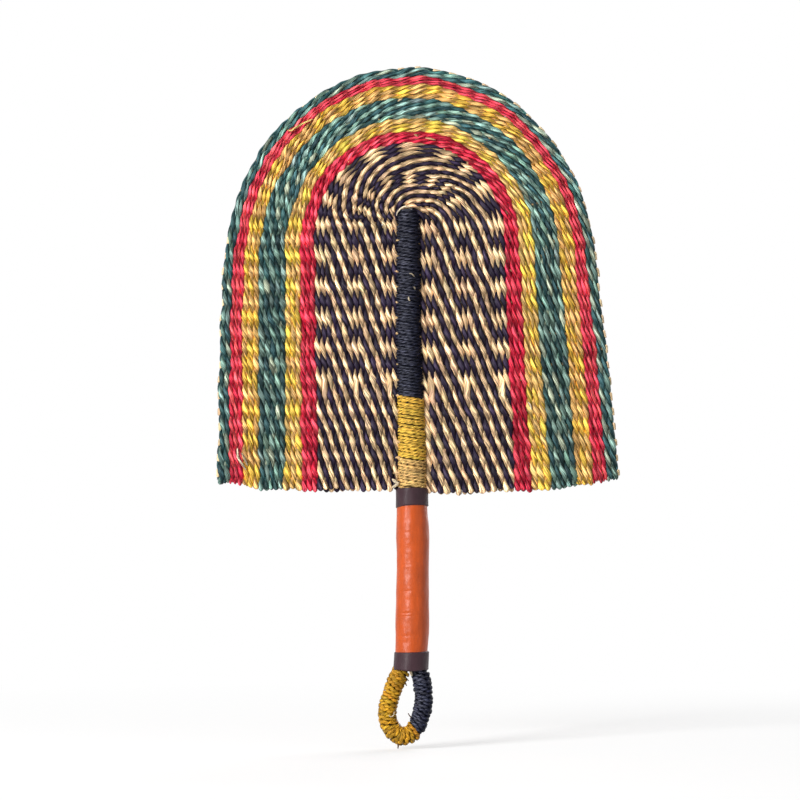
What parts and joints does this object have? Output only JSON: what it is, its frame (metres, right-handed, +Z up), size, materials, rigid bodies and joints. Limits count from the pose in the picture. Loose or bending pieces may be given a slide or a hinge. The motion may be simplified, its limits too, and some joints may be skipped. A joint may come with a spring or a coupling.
{
  "type": "hand fan",
  "caption": "Horseshoe-shaped hand fan of pair-twined dyed straw with a straw-wrapped spine, a leather grip between leather collars and a wrapped hang loop.",
  "frame": {"origin": "on the axis of the handle, at the middle of the leather grip", "axes": "+Z up the handle to the tip of the blade, -Y out of the front face, +X to the right seen from the front"},
  "size_m": [0.2359, 0.0208, 0.3976],
  "materials": {
    "straw_stem": "undyed straw stems, satin",
    "straw_pattern": "twisted straw, one strand dark blue and one undyed",
    "straw_red": "twisted straw dyed coral red and crimson",
    "straw_yellow": "twisted straw dyed yellow, with tan",
    "straw_green": "twisted straw dyed blue-green",
    "straw_natural_wrap": "undyed straw strand, satin",
    "straw_yellow_wrap": "straw strand dyed mustard yellow, satin",
    "straw_navy_wrap": "straw strand dyed dark blue, satin",
    "grip_leather": "thin dyed leather, half gloss",
    "collar_leather": "thin dark brown leather, matt"
  },
  "bodies": {
    "root": {"cross_stake_01": "straw_stem", "cross_stake_02": "straw_stem", "cross_stake_03": "straw_stem", "cross_stake_04": "straw_stem", "cross_stake_05": "straw_stem", "cross_stake_06": "straw_stem", "cross_stake_07": "straw_stem", "cross_stake_08": "straw_stem", "cross_stake_09": "straw_stem", "cross_stake_10": "straw_stem", "cross_stake_11": "straw_stem", "cross_stake_12": "straw_stem", "cross_stake_13": "straw_stem", "cross_stake_14": "straw_stem", "cross_stake_15": "straw_stem", "cross_stake_16": "straw_stem", "crown_stakes": "straw_stem", "edge_green_row_01": "straw_green", "edge_green_row_02": "straw_green", "green_row_01": "straw_green", "green_row_02": "straw_green", "green_row_03": "straw_green", "green_row_04": "straw_green", "green_row_05": "straw_green", "grip_sleeve": "grip_leather", "inner_red_row_01": "straw_red", "inner_red_row_02": "straw_red", "inner_red_row_03": "straw_red", "inner_yellow_row_01": "straw_yellow", "inner_yellow_row_02": "straw_yellow", "inner_yellow_row_03": "straw_yellow", "loop_wrap_navy": "straw_navy_wrap", "loop_wrap_yellow": "straw_yellow_wrap", "lower_collar": "collar_leather", "outer_red_row_01": "straw_red", "outer_red_row_02": "straw_red", "outer_red_row_03": "straw_red", "outer_yellow_row_01": "straw_yellow", "outer_yellow_row_02": "straw_yellow", "outer_yellow_row_03": "straw_yellow", "pattern_row_01": "straw_pattern", "pattern_row_02": "straw_pattern", "pattern_row_03": "straw_pattern", "pattern_row_04": "straw_pattern", "pattern_row_05": "straw_pattern", "pattern_row_06": "straw_pattern", "pattern_row_07": "straw_pattern", "pattern_row_08": "straw_pattern", "pattern_row_09": "straw_pattern", "pattern_row_10": "straw_pattern", "pattern_row_11": "straw_pattern", "pattern_row_12": "straw_pattern", "pattern_row_13": "straw_pattern", "pattern_row_14": "straw_pattern", "pattern_row_15": "straw_pattern", "spine_wrap_natural": "straw_natural_wrap", "spine_wrap_navy": "straw_navy_wrap", "spine_wrap_yellow": "straw_yellow_wrap", "stem_bundle": "straw_stem", "upper_collar": "collar_leather"}
  },
  "joints": []
}
